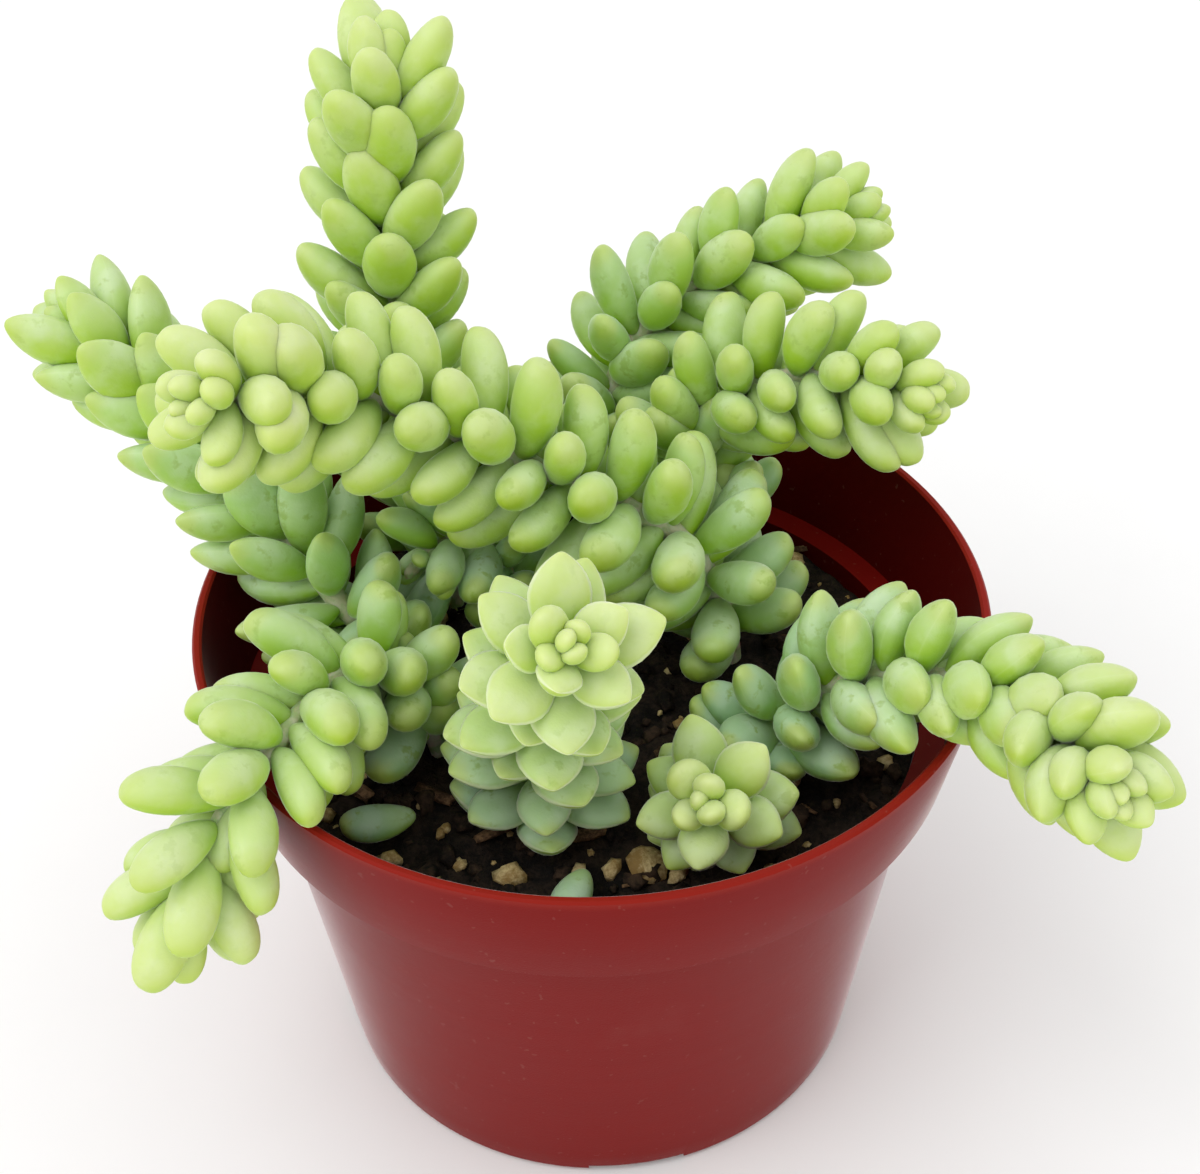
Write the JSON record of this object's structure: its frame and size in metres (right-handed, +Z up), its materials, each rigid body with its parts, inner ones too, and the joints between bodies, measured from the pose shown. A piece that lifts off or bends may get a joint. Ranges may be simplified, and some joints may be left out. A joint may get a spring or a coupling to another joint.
{
  "type": "potted burro's tail plant",
  "caption": "Round plastic nursery pot of soil from which fat-leaved trailing succulent stems rise, arch and hang over the rim.",
  "frame": {"origin": "middle of the pot's base, on the surface that the pot stands on", "axes": "+Z up along the pot's axis, -Y towards the side where the short upright rosette stands, +X to the right seen from there"},
  "size_m": [0.1448, 0.112, 0.1431],
  "materials": {
    "pot_plastic": "satin terracotta-red moulded plastic",
    "potting_soil": "loose dark soil with grit",
    "leaf_green": "smooth fleshy leaf with a powdery bloom",
    "leaf_old": "fleshy leaf, older and darker"
  },
  "bodies": {
    "root": {"pot": "pot_plastic", "soil": "potting_soil", "stem_upright": "leaf_green", "stem_arching": "leaf_green", "stem_far_left": "leaf_green", "stem_back": "leaf_green", "stem_right": "leaf_green", "stem_front_right": "leaf_green", "stem_front": "leaf_green", "stem_small_front": "leaf_green", "stem_trailing": "leaf_green", "stem_inner": "leaf_green", "leaf_fallen_left": "leaf_old", "leaf_fallen_front": "leaf_old", "leaf_fallen_right": "leaf_old"}
  },
  "joints": []
}
